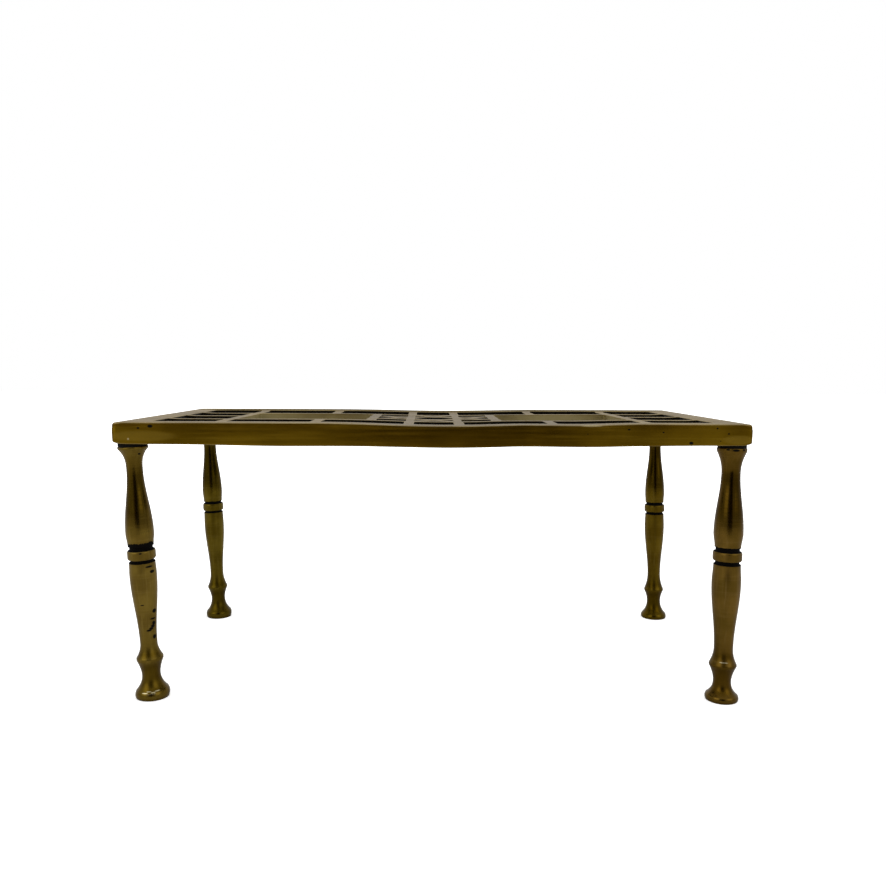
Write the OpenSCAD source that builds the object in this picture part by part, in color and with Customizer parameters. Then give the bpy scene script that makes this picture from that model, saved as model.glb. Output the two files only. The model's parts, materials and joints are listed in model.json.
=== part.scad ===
// Low cast-brass stand: a flat pierced top on four turned legs.
// Each leg is built up from turned sections and screws into a boss under a corner of the top.
// Origin: on the floor, under the middle of the top. +X runs to the right along the length,
// +Y to the back, +Z up. Millimetres.

/* [Top] */
// Length of the top, left to right
top_length = 306; // [295:1:320]
// Depth of the top, front to back
top_depth = 152; // [146:1:160]
// Thickness of the rim
rim_thickness = 10; // [9:0.5:12]
// Width of the plain flat rim round the lattice
rim_width = 14.4; // [14:0.1:16]
// Radius of the top's corners, seen from above
corner_radius = 2; // [1.5:0.5:5]
// Rounding of the rim's outer edges
edge_round = 1.2; // [0.5:0.1:1.8]

/* [Lattice] */
// Width of a lattice bar
bar_width = 5.2; // [4.5:0.1:6]
// Thickness of the lattice, flush with the top of the rim
bar_thickness = 7; // [5:0.5:8]
// Depth of the middle zone, between the centre lines of the two long bars
middle_depth = 65; // [62:1:68]
// Distance from the middle to the centre line of an end column's bar
end_bar_x = 106.5; // [104:0.5:109]
// Distance from the middle to the centre line of an outer strut
outer_strut_x = 59.5; // [56:0.5:62]
// Size of the square that holds the star, between bar centre lines
star_square = 67; // [65:1:69]

/* [Legs] */
// Height of the whole stand
stand_height = 137; // [132:1:142]
// Thickness of the washer between a leg and its boss
washer_thickness = 1.2; // [0.8:0.1:1.5]
// Distance from a leg's centre line to the two outer faces of the rim
leg_inset = 7.6; // [7.1:0.05:8]
// Diameter of the flange at the top of a leg
flange_diameter = 14.4; // [13.5:0.1:14.4]
// Largest diameter of the foot
foot_diameter = 16.3; // [15:0.1:16.8]
// Height of the collar between the two seams
collar_height = 4.5; // [4:0.1:5.5]
// Distance from the washer to the end of each upper spindle: front left, front right, back left, back right
joint_drop = [48.5, 48.6, 47.8, 47.9]; // [46:0.1:50]
// Height of the seams above and below each collar, in the same order
seam_width = [2, 2, 1.4, 1.6]; // [1:0.1:2.4]
// Share of the pattern's width that each leg keeps after turning, in the same order
leg_width = [0.95, 1, 0.91, 0.91]; // [0.88:0.01:1.02]
// How far each foot stands in towards the middle, in the same order
foot_lean_in = [5.8, 2.2, 4.2, -1.6]; // [-3:0.1:7]
// How far each foot stands back, in the same order
foot_lean_back = [2.8, -2.8, 1.4, -1.4]; // [-4:0.1:4]

/* [Threads] */
// Outside diameter of the studs' thread
thread_diameter = 4.9; // [4.8:0.01:4.95]
// Thread pitch
thread_pitch = 0.8; // [0.7:0.1:1]
// Turns of thread that hold a leg in its boss
engaged_turns = 9; // [8:1:9]

/* [Hidden] */
$fn = 72;

// Legs are numbered 0 front left, 1 front right, 2 back left, 3 back right.
LEG_SIDES = [[-1, -1], [1, -1], [-1, 1], [1, 1]];

brass = "darkgoldenrod";
worn_brass = "peru";
steel = "dimgray";
black_fibre = "black";

// Heights
window_length = top_length - 2 * rim_width;
window_depth = top_depth - 2 * rim_width;
boss_height = 0.6;
boss_root = 2;
boss_diameter = flange_diameter - 0.6;
washer_diameter = flange_diameter - 0.4;
washer_play = 0.4;
rim_underside = stand_height - rim_thickness;
boss_face = rim_underside - boss_height;
overlap = 1;

// Lattice: the star's eight tips meet the inner faces of the square round it
star_reach = star_square / 2;
star_line = (star_reach - bar_width / 2) * tan(22.5);
star_half_chord = star_reach;
star_bar_slimmer = 0.8;
star_bar_width = bar_width - star_bar_slimmer;

// Threads
hole_diameter = 5;
engaged_length = engaged_turns * thread_pitch;
drill_end = 1.2;
hole_depth = engaged_length + drill_end;
stud_in_leg = 9;
stud_in_joint = 10;
thread_depth = 0.45;
end_clearance = 0.6;

// Leg outline: each station is [distance below the washer, diameter, bend of the stretch that ends there].
// Bend 0 eases at both ends, 1 is straight, above 1 flares out at its end, below -1 coves from its start.
// The distances are in units of about a millimetre, 124 to a leg.
leg_length = boss_face - washer_thickness;
leg_unit = leg_length / 124;
flange_break = 0.8;
foot_break = 1;
upper_start_z = -washer_thickness;
foot_spare = 2;
outline_steps = 8;

// ---- Leg outlines ----

function collar_top(leg) = joint_drop[leg] + seam_width[leg];
function collar_bottom(leg) = collar_top(leg) + collar_height;
function lower_start(leg) = collar_bottom(leg) + seam_width[leg];

function upper_outline(leg) =
    let (w = leg_width[leg])
    [[0, flange_diameter - flange_break, 1], [0.5, flange_diameter, -2], [1.3, flange_diameter, 1],
        [9.5, 9 * w, -2], [41, 13.9 * w, 0], [joint_drop[leg], 12.4 * w, 0]];

function collar_outline(leg) =
    let (w = leg_width[leg], top = collar_top(leg), bottom = collar_bottom(leg))
    [[joint_drop[leg], 11.4 * w, 1], [top, 11.4 * w, 1], [top, 12.6 * w, 1],
        [(top + bottom) / 2, 13.9 * w, -2], [bottom, 12.6 * w, 2], [bottom, 11.4 * w, 1],
        [lower_start(leg), 11.4 * w, 1]];

function lower_outline(leg) =
    let (w = leg_width[leg])
    [[lower_start(leg), 12.6 * w, 1], [69, 13.8 * w, 0], [97.6, 9 * w, 0], [104.2, 13.2, 2],
        [104.8, 13.2, 1], [113.1, 8.7, -1.7], [120.4, foot_diameter - foot_break, 2.8],
        [122.4, foot_diameter, -2], [124, foot_diameter - foot_break, 2]];

function upper_end_z(leg) = upper_start_z - leg_unit * joint_drop[leg];
function lower_start_z(leg) = upper_start_z - leg_unit * lower_start(leg);

// ---- Leg placing ----

function leg_x(leg) = LEG_SIDES[leg][0] * (top_length / 2 - leg_inset);
function leg_y(leg) = LEG_SIDES[leg][1] * (top_depth / 2 - leg_inset);
function side_tilt(leg) = LEG_SIDES[leg][0] * atan(foot_lean_in[leg] / boss_face);
function back_tilt(leg) = atan(foot_lean_back[leg] * cos(side_tilt(leg)) / boss_face);

// Puts its children on a leg's axis: z = 0 is the boss's face and the leg hangs below it.
module on_leg_axis(leg) {
    translate([leg_x(leg), leg_y(leg), boss_face])
        rotate([back_tilt(leg), side_tilt(leg), 0])
            children();
}

// ---- Turned outlines ----

function eased(t, bend) =
    bend == 0 ? (1 - cos(180 * t)) / 2 :
    bend > 0 ? pow(t, bend) :
    1 - pow(1 - t, -bend);

// Radius and height points of one stretch between two stations, without its first point.
function stretch(a, b) =
    let (steps = b[2] == 1 ? 1 : outline_steps)
    [for (i = [1:steps])
        let (t = i / steps, d = a[1] + (b[1] - a[1]) * eased(t, b[2]))
        [d / 2, -leg_unit * (a[0] + (b[0] - a[0]) * t)]];

function outline_points(outline) = concat(
    [[outline[0][1] / 2, -leg_unit * outline[0][0]]],
    [for (i = [1:len(outline) - 1]) each stretch(outline[i - 1], outline[i])]);

// A solid turned section, hanging below the washer.
module turned(outline) {
    points = outline_points(outline);
    top = points[0][1];
    bottom = points[len(points) - 1][1];
    translate([0, 0, upper_start_z])
        rotate_extrude()
            polygon(concat([[0, top]], points, [[0, bottom]]));
}

// A threaded hole on the leg axis, between two heights.
module axis_hole(bottom_z, top_z) {
    translate([0, 0, bottom_z])
        cylinder(d = hole_diameter, h = top_z - bottom_z);
}

// A stud with a grooved thread, from z = 0 up.
module threaded_stud(length) {
    turns = floor(length / thread_pitch);
    run_out = (length - turns * thread_pitch) / 2;
    crest = thread_diameter / 2;
    root = crest - thread_depth;
    rotate_extrude()
        polygon(concat(
            [[0, 0], [root, 0]],
            [for (i = [0:turns - 1])
                each [[root, run_out + i * thread_pitch], [crest, run_out + (i + 0.5) * thread_pitch]]],
            [[root, run_out + turns * thread_pitch], [root, length], [0, length]]));
}

// ---- Top ----

// A slab with rounded corners and rounded top and bottom edges, standing on z = 0.
module rounded_slab(length, depth, height) {
    inner_length = length - 2 * corner_radius;
    inner_depth = depth - 2 * corner_radius;
    r = edge_round;
    translate([-inner_length / 2, -depth / 2 + r, 0])
        cube([inner_length, depth - 2 * r, height]);
    translate([-length / 2 + r, -inner_depth / 2, 0])
        cube([length - 2 * r, inner_depth, height]);
    translate([-inner_length / 2, -depth / 2, r])
        cube([inner_length, depth, height - 2 * r]);
    translate([-length / 2, -inner_depth / 2, r])
        cube([length, inner_depth, height - 2 * r]);
    for (z = [r, height - r], side = [-1, 1]) {
        translate([-inner_length / 2, side * (depth / 2 - r), z])
            rotate([0, 90, 0])
                cylinder(r = r, h = inner_length);
        translate([side * (length / 2 - r), inner_depth / 2, z])
            rotate([90, 0, 0])
                cylinder(r = r, h = inner_depth);
    }
    for (side = LEG_SIDES)
        translate([side[0] * inner_length / 2, side[1] * inner_depth / 2, 0])
            rounded_post(corner_radius, height);
}

// A round post with rounded ends.
module rounded_post(radius, height) {
    r = edge_round;
    rotate_extrude()
        union() {
            square([radius - r, height]);
            translate([0, r])
                square([radius, height - 2 * r]);
            for (z = [r, height - r])
                translate([radius - r, z])
                    intersection() {
                        circle(r = r);
                        translate([-r, -r])
                            square([2 * r, 2 * r]);
                    }
        }
}

// A flat bar between two points.
module bar(a, b, width = bar_width) {
    d = b - a;
    translate(a)
        rotate(atan2(d[1], d[0]))
            translate([0, -width / 2])
                square([norm(d), width]);
}

// The eight-pointed star: eight straight bars, each a quarter right angle on from the last.
module star() {
    for (turn = [0:45:315])
        rotate(turn)
            bar([star_line, -star_half_chord], [star_line, star_half_chord], star_bar_width);
}

module lattice_outline() {
    long_reach = window_length / 2 + overlap;
    deep_reach = window_depth / 2 + overlap;
    row_start = middle_depth / 2;
    for (side = [-1, 1]) {
        bar([-long_reach, side * row_start], [long_reach, side * row_start]);
        bar([side * end_bar_x, -deep_reach], [side * end_bar_x, deep_reach]);
        bar([side * end_bar_x, 0], [side * long_reach, 0]);
        bar([side * star_reach, -row_start], [side * star_reach, row_start]);
        for (x = [star_line, outer_strut_x], row = [-1, 1])
            bar([side * x, row * row_start], [side * x, row * deep_reach]);
    }
    star();
}

module pierced_top() {
    color(brass)
    difference() {
        union() {
            translate([0, 0, rim_underside])
                difference() {
                    rounded_slab(top_length, top_depth, rim_thickness);
                    translate([-window_length / 2, -window_depth / 2, -overlap])
                        cube([window_length, window_depth, rim_thickness + 2 * overlap]);
                }
            translate([0, 0, stand_height - bar_thickness])
                linear_extrude(bar_thickness)
                    lattice_outline();
            for (leg = [0:3])
                on_leg_axis(leg)
                    cylinder(d = boss_diameter, h = boss_height + boss_root);
        }
        for (leg = [0:3])
            on_leg_axis(leg)
                axis_hole(-overlap, hole_depth);
    }
}

// ---- Leg pieces ----

module washer(leg) {
    color(black_fibre)
    on_leg_axis(leg)
        translate([0, 0, -washer_thickness])
            difference() {
                cylinder(d = washer_diameter, h = washer_thickness);
                translate([0, 0, -overlap])
                    cylinder(d = hole_diameter + washer_play, h = washer_thickness + 2 * overlap);
            }
}

module upper_spindle(leg) {
    color(brass)
    on_leg_axis(leg)
        difference() {
            turned(upper_outline(leg));
            axis_hole(upper_start_z - stud_in_leg - end_clearance, upper_start_z + overlap);
            axis_hole(upper_end_z(leg) - overlap, upper_end_z(leg) + stud_in_joint + end_clearance);
        }
}

module collar(leg) {
    color(worn_brass)
    on_leg_axis(leg)
        difference() {
            turned(collar_outline(leg));
            axis_hole(lower_start_z(leg) - overlap, upper_end_z(leg) + overlap);
        }
}

// The foot is filed flat to the floor, square to the stand and not to its own leaning leg.
module lower_spindle(leg) {
    color(brass)
    difference() {
        on_leg_axis(leg)
            difference() {
                union() {
                    turned(lower_outline(leg));
                    translate([0, 0, -boss_face - foot_spare])
                        cylinder(d = foot_diameter - foot_break, h = foot_spare + overlap);
                }
                axis_hole(lower_start_z(leg) - stud_in_joint - end_clearance, lower_start_z(leg) + overlap);
            }
        translate([-top_length, -top_depth, -2 * foot_spare])
            cube([2 * top_length, 2 * top_depth, 2 * foot_spare]);
    }
}

module top_stud(leg) {
    color(steel)
    on_leg_axis(leg)
        translate([0, 0, upper_start_z - stud_in_leg])
            threaded_stud(stud_in_leg + washer_thickness + engaged_length);
}

module joint_stud(leg) {
    color(steel)
    on_leg_axis(leg)
        translate([0, 0, lower_start_z(leg) - stud_in_joint])
            threaded_stud(2 * stud_in_joint + upper_end_z(leg) - lower_start_z(leg));
}

pierced_top();

washer(0);  // front_left_washer
upper_spindle(0);  // front_left_upper_spindle
collar(0);  // front_left_collar
lower_spindle(0);  // front_left_lower_spindle
top_stud(0);  // front_left_top_stud
joint_stud(0);  // front_left_joint_stud

washer(1);  // front_right_washer
upper_spindle(1);  // front_right_upper_spindle
collar(1);  // front_right_collar
lower_spindle(1);  // front_right_lower_spindle
top_stud(1);  // front_right_top_stud
joint_stud(1);  // front_right_joint_stud

washer(2);  // back_left_washer
upper_spindle(2);  // back_left_upper_spindle
collar(2);  // back_left_collar
lower_spindle(2);  // back_left_lower_spindle
top_stud(2);  // back_left_top_stud
joint_stud(2);  // back_left_joint_stud

washer(3);  // back_right_washer
upper_spindle(3);  // back_right_upper_spindle
collar(3);  // back_right_collar
lower_spindle(3);  // back_right_lower_spindle
top_stud(3);  // back_right_top_stud
joint_stud(3);  // back_right_joint_stud
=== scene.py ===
# %% [markdown]
# # A low brass stand on four turned legs
# The real object is one flat sand casting, pierced with a lattice and an eight-pointed star, and four legs
# that are turned in sections and screwed together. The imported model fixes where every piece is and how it
# moves. This lesson makes the visible surfaces round that frame: a cast top with softened edges, turned
# brass with tool marks, black packing, and steel studs.

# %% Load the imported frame
import json
import math

import bpy
import bmesh
from mathutils import Matrix, Vector, noise
from mathutils.geometry import delaunay_2d_cdt


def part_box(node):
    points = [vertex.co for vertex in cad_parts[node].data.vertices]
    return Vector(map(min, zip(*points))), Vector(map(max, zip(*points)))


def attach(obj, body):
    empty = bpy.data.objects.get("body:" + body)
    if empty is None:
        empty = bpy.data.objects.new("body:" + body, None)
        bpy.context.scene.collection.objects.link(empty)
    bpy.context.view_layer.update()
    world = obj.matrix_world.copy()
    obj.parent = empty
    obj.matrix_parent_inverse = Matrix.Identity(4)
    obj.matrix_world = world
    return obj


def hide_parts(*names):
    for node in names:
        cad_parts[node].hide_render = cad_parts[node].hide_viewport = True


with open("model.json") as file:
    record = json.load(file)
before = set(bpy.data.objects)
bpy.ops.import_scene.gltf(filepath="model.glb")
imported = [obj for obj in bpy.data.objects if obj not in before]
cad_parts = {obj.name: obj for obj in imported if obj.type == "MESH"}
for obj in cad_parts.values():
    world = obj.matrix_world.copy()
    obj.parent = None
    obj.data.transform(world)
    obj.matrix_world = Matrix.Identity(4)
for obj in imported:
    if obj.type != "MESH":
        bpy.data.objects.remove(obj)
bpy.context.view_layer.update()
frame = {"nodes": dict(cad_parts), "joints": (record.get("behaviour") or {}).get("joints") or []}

MM = 0.001

# %% [markdown]
# ## Sizes
# Every place comes from the frame: the top's box gives its length, depth and height, and each leg's hinge
# gives the point and the line that the leg hangs from. Only the sizes of details, such as a bar's width,
# are named here.

# %% Driving sizes, in metres
_, top_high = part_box("pierced_top")
HALF_LENGTH = top_high.x
HALF_DEPTH = top_high.y
TOP_Z = top_high.z
RIM_THICKNESS = 10 * MM
RIM_WIDTH = 14.4 * MM
BAR_WIDTH = 5.2 * MM
STAR_BAR_WIDTH = 4.4 * MM
BAR_THICKNESS = 7 * MM
LONG_BAR_Y = 32.5 * MM
END_BAR_X = 106.5 * MM
OUTER_STRUT_X = 59.5 * MM
STAR_REACH = 33.5 * MM
STAR_LINE = (STAR_REACH - BAR_WIDTH / 2) * math.tan(math.radians(22.5))
CORNER_SIGNS = ((-1, -1), (1, -1), (1, 1), (-1, 1))
LEG_NAMES = ("front_left", "front_right", "back_left", "back_right")
BOSS_RADIUS = 6.9 * MM
BORE_RADIUS = 2.5 * MM
BORE_DEPTH = 8.4 * MM
WASHER = 1.2 * MM
joints = {joint["name"]: joint for joint in frame["joints"]}
BOSS_FACE = joints["front_left_leg_turn"]["pos_m"][2]
# The leg tables further on are drawn for a leg this many millimetres long. LEG_UNIT fits them to the frame.
DRAWN_LEG = 124
LEG_UNIT = (BOSS_FACE - WASHER) / DRAWN_LEG


def leg_matrix(leg):
    """The place of a leg: its origin in the boss's face, its Z up along the leg's axis."""
    hinge = joints[leg + "_leg_turn"]
    up = -Vector(hinge["axis"]).normalized()
    side = (Vector((1, 0, 0)) - up * up.x).normalized()
    matrix = Matrix((side, up.cross(side), up)).transposed().to_4x4()
    matrix.translation = Vector(hinge["pos_m"])
    return matrix


print("top stands at", round(TOP_Z, 4), "and the legs hang from", round(BOSS_FACE, 4))

# %% [markdown]
# ## Small helpers
# Colours are picked as hex values, the way a paint chart gives them, and one function turns them to the
# linear numbers that a shader works in. One function adds a node to any tree, with its settings and its
# links.

# %% Helpers for colours and node trees
def linear(hex_colour):
    channels = [int(hex_colour[i:i + 2], 16) / 255 for i in (1, 3, 5)]
    return [c / 12.92 if c <= 0.04045 else ((c + 0.055) / 1.055) ** 2.4 for c in channels] + [1]


def feed(tree, node, inputs):
    """Sets or links a node's inputs, given in order or by name. A node among them lends its first result."""
    for key, value in inputs.items() if isinstance(inputs, dict) else enumerate(inputs):
        if isinstance(value, bpy.types.Node):
            value = next(result for result in value.outputs if result.enabled)
        if isinstance(value, bpy.types.NodeSocket):
            tree.links.new(value, node.inputs[key])
        else:
            node.inputs[key].default_value = value


def add(tree, kind, inputs=(), **settings):
    node = tree.nodes.new(kind)
    for name, value in settings.items():
        setattr(node, name, value)
    feed(tree, node, inputs)
    return node


def new_material(name, metallic, roughness):
    material = bpy.data.materials.new(name)
    material.use_nodes = True
    shader = material.node_tree.nodes["Principled BSDF"]
    shader.inputs["Metallic"].default_value = metallic
    shader.inputs["Roughness"].default_value = roughness
    return material, material.node_tree, shader


def plain_mesh(holder):
    """The evaluated shape of an object as a plain mesh, with its modifiers gone."""
    graph = bpy.context.evaluated_depsgraph_get()
    mesh = bpy.data.meshes.new_from_object(holder.evaluated_get(graph))
    holder.modifiers.clear()
    holder.data = mesh
    return holder


def show(name, mesh):
    piece = bpy.data.objects.new(name, mesh)
    bpy.context.scene.collection.objects.link(piece)
    return piece


# %% [markdown]
# ## Camera
# The camera stands a little above the top, close to the front, and looks slightly down, so the top is seen
# almost edge on. It is placed in the frame's own metres.

# %% Camera
CAMERA_PLACE = (-2.29 * MM, -464.25 * MM, 160.75 * MM)
CAMERA_DOWN = 4.874
CAMERA_TURN = -0.951
CAMERA_ROLL = 0.258
CAMERA_LENS = 33.2939
camera_data = bpy.data.cameras.new("camera")
camera_data.sensor_width = 36
camera_data.lens = CAMERA_LENS
camera_data.clip_start = 0.01
camera = bpy.data.objects.new("camera", camera_data)
bpy.context.scene.collection.objects.link(camera)
turn = Matrix.Rotation(math.radians(CAMERA_TURN), 4, "Z")
tilt = Matrix.Rotation(math.radians(90 - CAMERA_DOWN), 4, "X")
roll = Matrix.Rotation(math.radians(CAMERA_ROLL), 4, "Z")
camera.matrix_world = Matrix.Translation(CAMERA_PLACE) @ turn @ tilt @ roll
bpy.context.scene.camera = camera
print("lens", round(camera_data.lens, 2), "mm")

# %% [markdown]
# ## Stage and light
# Metal shows what is round it, so the light matters as much as the colour. A pale floor and a pale room
# give the plain setting. In front the room is dim at eye height, as it is behind a camera, and the camera,
# the person who holds it and the brown room behind them are dark shapes. Three cards stand for them. They
# show only in reflections, where they draw the dark line down the middle of every turned leg and the brown
# third in the middle of the front edge.

# %% Floor
floor_mesh = bpy.data.meshes.new("floor")
FLOOR_REACH = 6
floor_corners = [(FLOOR_REACH * sx, FLOOR_REACH * sy, 0) for sx, sy in CORNER_SIGNS]
floor_mesh.from_pydata(floor_corners, [], [(0, 1, 2, 3)])
floor = show("floor", floor_mesh)
paper, tree, shader = new_material("matt white paper", 0, 0.9)
# Paper looks white to the eye, but metal only sees it in the shade of the room, so reflections get it
# greyer.
seen_directly = add(tree, "ShaderNodeLightPath").outputs["Is Camera Ray"]
white = add(tree, "ShaderNodeMix", {0: seen_directly, 6: linear("#b4b2ae"), 7: linear("#fbfbfa")},
            data_type="RGBA")
# Far from the stand the sheet is lit so strongly that it is simply white and meets the wall without a line.
FAR_FROM, FAR_TO, NEAR_GLOW = 0.3, 0.8, 0.3
place = add(tree, "ShaderNodeTexCoord").outputs["Object"]
reach = add(tree, "ShaderNodeVectorMath", [place], operation="LENGTH")
far_off = add(tree, "ShaderNodeMapRange", [reach, FAR_FROM, FAR_TO, NEAR_GLOW])
glow = add(tree, "ShaderNodeMath", [far_off, seen_directly], operation="MULTIPLY")
feed(tree, shader, {"Base Color": white, "Emission Color": (1, 1, 1, 1), "Emission Strength": glow})
floor_mesh.materials.append(paper)
print("floor reaches", FLOOR_REACH, "m each way")

# %% World and lights
world = bpy.data.worlds.new("pale room")
bpy.context.scene.world = world
world.use_nodes = True
tree = world.node_tree
# In front the room goes from dim at the floor to half lit overhead. At the back it is paler all the way up.
FRONT_LOW, FRONT_HIGH, BACK_LIGHT = 0.3, 0.62, 0.75
direction = add(tree, "ShaderNodeTexCoord").outputs["Generated"]
axes = add(tree, "ShaderNodeSeparateXYZ", [direction]).outputs
front_light = add(tree, "ShaderNodeMapRange", [axes["Z"], 0.0, 0.45, FRONT_LOW, FRONT_HIGH])
to_back = add(tree, "ShaderNodeMapRange", [axes["Y"], -0.4, 0.6])
room = add(tree, "ShaderNodeMix", {0: to_back, 2: front_light, 3: BACK_LIGHT})
seen_directly = add(tree, "ShaderNodeLightPath").outputs["Is Camera Ray"]
pale = add(tree, "ShaderNodeMix", {0: seen_directly, 2: room, 3: 1.0})
feed(tree, tree.nodes["Background"], {"Color": pale, "Strength": 1})
bpy.context.scene.view_settings.view_transform = "Standard"


def soft_box(name, place, aim, size, power):
    light = bpy.data.lights.new(name, "AREA")
    light.shape = "RECTANGLE"
    light.size, light.size_y = size
    light.energy = power
    lamp = bpy.data.objects.new(name, light)
    bpy.context.scene.collection.objects.link(lamp)
    lamp.location = place
    lamp.rotation_euler = (Vector(aim) - Vector(place)).to_track_quat("-Z", "Y").to_euler()
    return lamp


soft_box("soft_box_left", (-1.1, -1.0, 0.8), (0, 0, 0.08), (0.9, 1.1), 3.4)
soft_box("soft_box_right", (1.1, -1.0, 0.8), (0, 0, 0.08), (0.9, 1.1), 2.6)
soft_box("soft_box_above", (0, 0.1, 2.0), (0, 0, 0), (2.4, 2.4), 34).visible_glossy = False

# %% Dark shapes that only reflections see
# Name: (material, its colour, left and low corner, right and high corner, how far in front), in metres.
CARDS = {
    "dark_camera": ("dull camera case", "#3a2e22", (-0.02, 0.1), (0.04, 0.24), -0.47),
    "dark_person": ("dark cloth", "#1c1814", (-0.16, 0.0), (0.13, 0.75), -0.9),
    "brown_room": ("brown cloth", "#55473a", (-0.36, 0.0), (0.27, 0.8), -0.95),
}
for name, (stuff, colour, (left, low), (right, high), y) in CARDS.items():
    mesh = bpy.data.meshes.new(name)
    mesh.from_pydata([(left, y, low), (right, y, low), (right, y, high), (left, y, high)], [], [(0, 1, 2, 3)])
    cloth, _, shader = new_material(stuff, 0, 0.9)
    shader.inputs["Base Color"].default_value = linear(colour)
    mesh.materials.append(cloth)
    card = show(name, mesh)
    card.visible_camera = card.visible_diffuse = card.visible_shadow = False
print(len(CARDS), "cards")

# %% [markdown]
# ## The lattice as saw cuts
# The pattern follows a rule, so it is made from the rule. The open window of the casting is one rectangle,
# and every bar is a straight cut that splits the cells it crosses and keeps them half a bar apart. The star
# is eight such bars, each turned by an eighth of a circle. What is left between the bars are the openings.

# %% Cells between the bars
def clip(cell, normal, limit):
    """The part of a convex cell on the near side of a line."""
    kept = []
    for a, b in zip(cell, cell[1:] + cell[:1]):
        height_a, height_b = a.dot(normal) - limit, b.dot(normal) - limit
        if height_a <= 0:
            kept.append(a)
        if height_a * height_b < 0:
            kept.append(a.lerp(b, height_a / (height_a - height_b)))
    return kept


def cell_area(cell):
    return 0.5 * sum(a.x * b.y - b.x * a.y for a, b in zip(cell, cell[1:] + cell[:1]))


def lay_bar(cells, degrees, place, width):
    """Splits the cells with a bar whose centre line stands at a distance along a direction."""
    normal = Vector((math.cos(math.radians(degrees)), math.sin(math.radians(degrees))))
    split = []
    for cell in cells:
        split += [clip(cell, normal, place - width / 2), clip(cell, -normal, -place - width / 2)]
    return [cell for cell in split if len(cell) > 2 and cell_area(cell) > SMALLEST_CELL]


SMALLEST_CELL = 7 * MM * MM
half_window = Vector((HALF_LENGTH - RIM_WIDTH, HALF_DEPTH - RIM_WIDTH))
window = [Vector((half_window.x * sx, half_window.y * sy)) for sx, sy in CORNER_SIGNS]
zones = lay_bar(lay_bar([window], 90, LONG_BAR_Y, BAR_WIDTH), 90, -LONG_BAR_Y, BAR_WIDTH)
openings = []
for zone in zones:
    middle_y = sum(p.y for p in zone) / len(zone)
    in_middle = abs(middle_y) < LONG_BAR_Y / 2
    cells = [zone]
    for bar_x in (END_BAR_X, STAR_REACH) if in_middle else (END_BAR_X, OUTER_STRUT_X, STAR_LINE):
        cells = lay_bar(lay_bar(cells, 0, bar_x, BAR_WIDTH), 0, -bar_x, BAR_WIDTH)
    for cell in cells:
        middle_x = sum(p.x for p in cell) / len(cell)
        if in_middle and abs(middle_x) > END_BAR_X:
            openings += lay_bar([cell], 90, 0, BAR_WIDTH)
        elif in_middle and abs(middle_x) < STAR_REACH / 2:
            star_cells = [cell]
            for degrees in range(0, 360, 45):
                star_cells = lay_bar(star_cells, degrees, STAR_LINE, STAR_BAR_WIDTH)
            openings += star_cells
        else:
            openings.append(cell)
print(len(openings), "openings")

# %% [markdown]
# ## From flat outlines to a casting
# A sand casting has no sharp corner: metal creeps round the sand and the file breaks every edge. Each outline
# gets round corners, and the outlines of the openings a slight wobble, as a hand-cut pattern has. From every
# outline a stack of rings then runs over the edge and down the wall, which gives each edge its own rounding.
# The flat faces between the rings are filled with even triangles, because long thin ones would dent the
# reflection.

# %% Soft outlines
def soften(outline, radius, step):
    """The outline with round corners, and with points no further apart than a step."""
    corners = []
    for before, corner, after in zip(outline[-1:] + outline[:-1], outline, outline[1:] + outline[:1]):
        back, on = (before - corner), (after - corner)
        angle = back.angle(on)
        reach = min(radius / math.tan(angle / 2), 0.42 * back.length, 0.42 * on.length)
        start, end = corner + back.normalized() * reach, corner + on.normalized() * reach
        corners.append([start.lerp(corner, t).lerp(corner.lerp(end, t), t) for t in (0, 0.25, 0.5, 0.75, 1)])
    points = []
    for corner, following in zip(corners, corners[1:] + corners[:1]):
        points += corner
        gap = following[0] - corner[-1]
        steps = max(1, round(gap.length / step))
        points += [corner[-1] + gap * (i / steps) for i in range(1, steps)]
    return points


def wobble(outline, size, seed):
    """Moves each point a little across the outline, by smooth noise."""
    moved = []
    for before, point, after in zip(outline[-1:] + outline[:-1], outline, outline[1:] + outline[:1]):
        along = (after - before).normalized()
        across = Vector((along.y, -along.x))
        amount = noise.noise(Vector((point.x * 60, point.y * 60, seed)))
        moved.append(point + across * amount * size)
    return moved


def pushed(outline, distance):
    """The outline moved sideways by a distance, to the right of its direction."""
    moved = []
    for before, point, after in zip(outline[-1:] + outline[:-1], outline, outline[1:] + outline[:1]):
        first, second = (point - before).normalized(), (after - point).normalized()
        normal = Vector((first.y + second.y, -first.x - second.x)).normalized()
        stretch = max(0.6, normal.dot(Vector((first.y, -first.x))))
        moved.append(point + normal * distance / stretch)
    return moved


OUTLINE_STEP = 2.6 * MM
outer_corners = [Vector((HALF_LENGTH * sx, HALF_DEPTH * sy)) for sx, sy in CORNER_SIGNS]
RIM_CORNER, HOLE_CORNER = 2.4 * MM, 1.3 * MM
HOLE_WOBBLE = 0.35 * MM
rim_outline = soften(outer_corners, RIM_CORNER, OUTLINE_STEP)
hole_outlines = [wobble(soften(cell, HOLE_CORNER, OUTLINE_STEP), HOLE_WOBBLE, 3.0 + i)
                 for i, cell in enumerate(openings)]
print("outlines have", len(rim_outline) + sum(map(len, hole_outlines)), "points")

# %% Rings over an edge
EDGE_ROUND_TOP = 0.28 * MM
EDGE_ROUND_BELOW = 0.5 * MM
SUPPORT = 0.35 * MM
FILED_UP = 1.1 * MM
FILED_LENGTH = 7 * MM
CORNER_REACH = 6 * MM
CORNER_WEAR = 2.2


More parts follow.
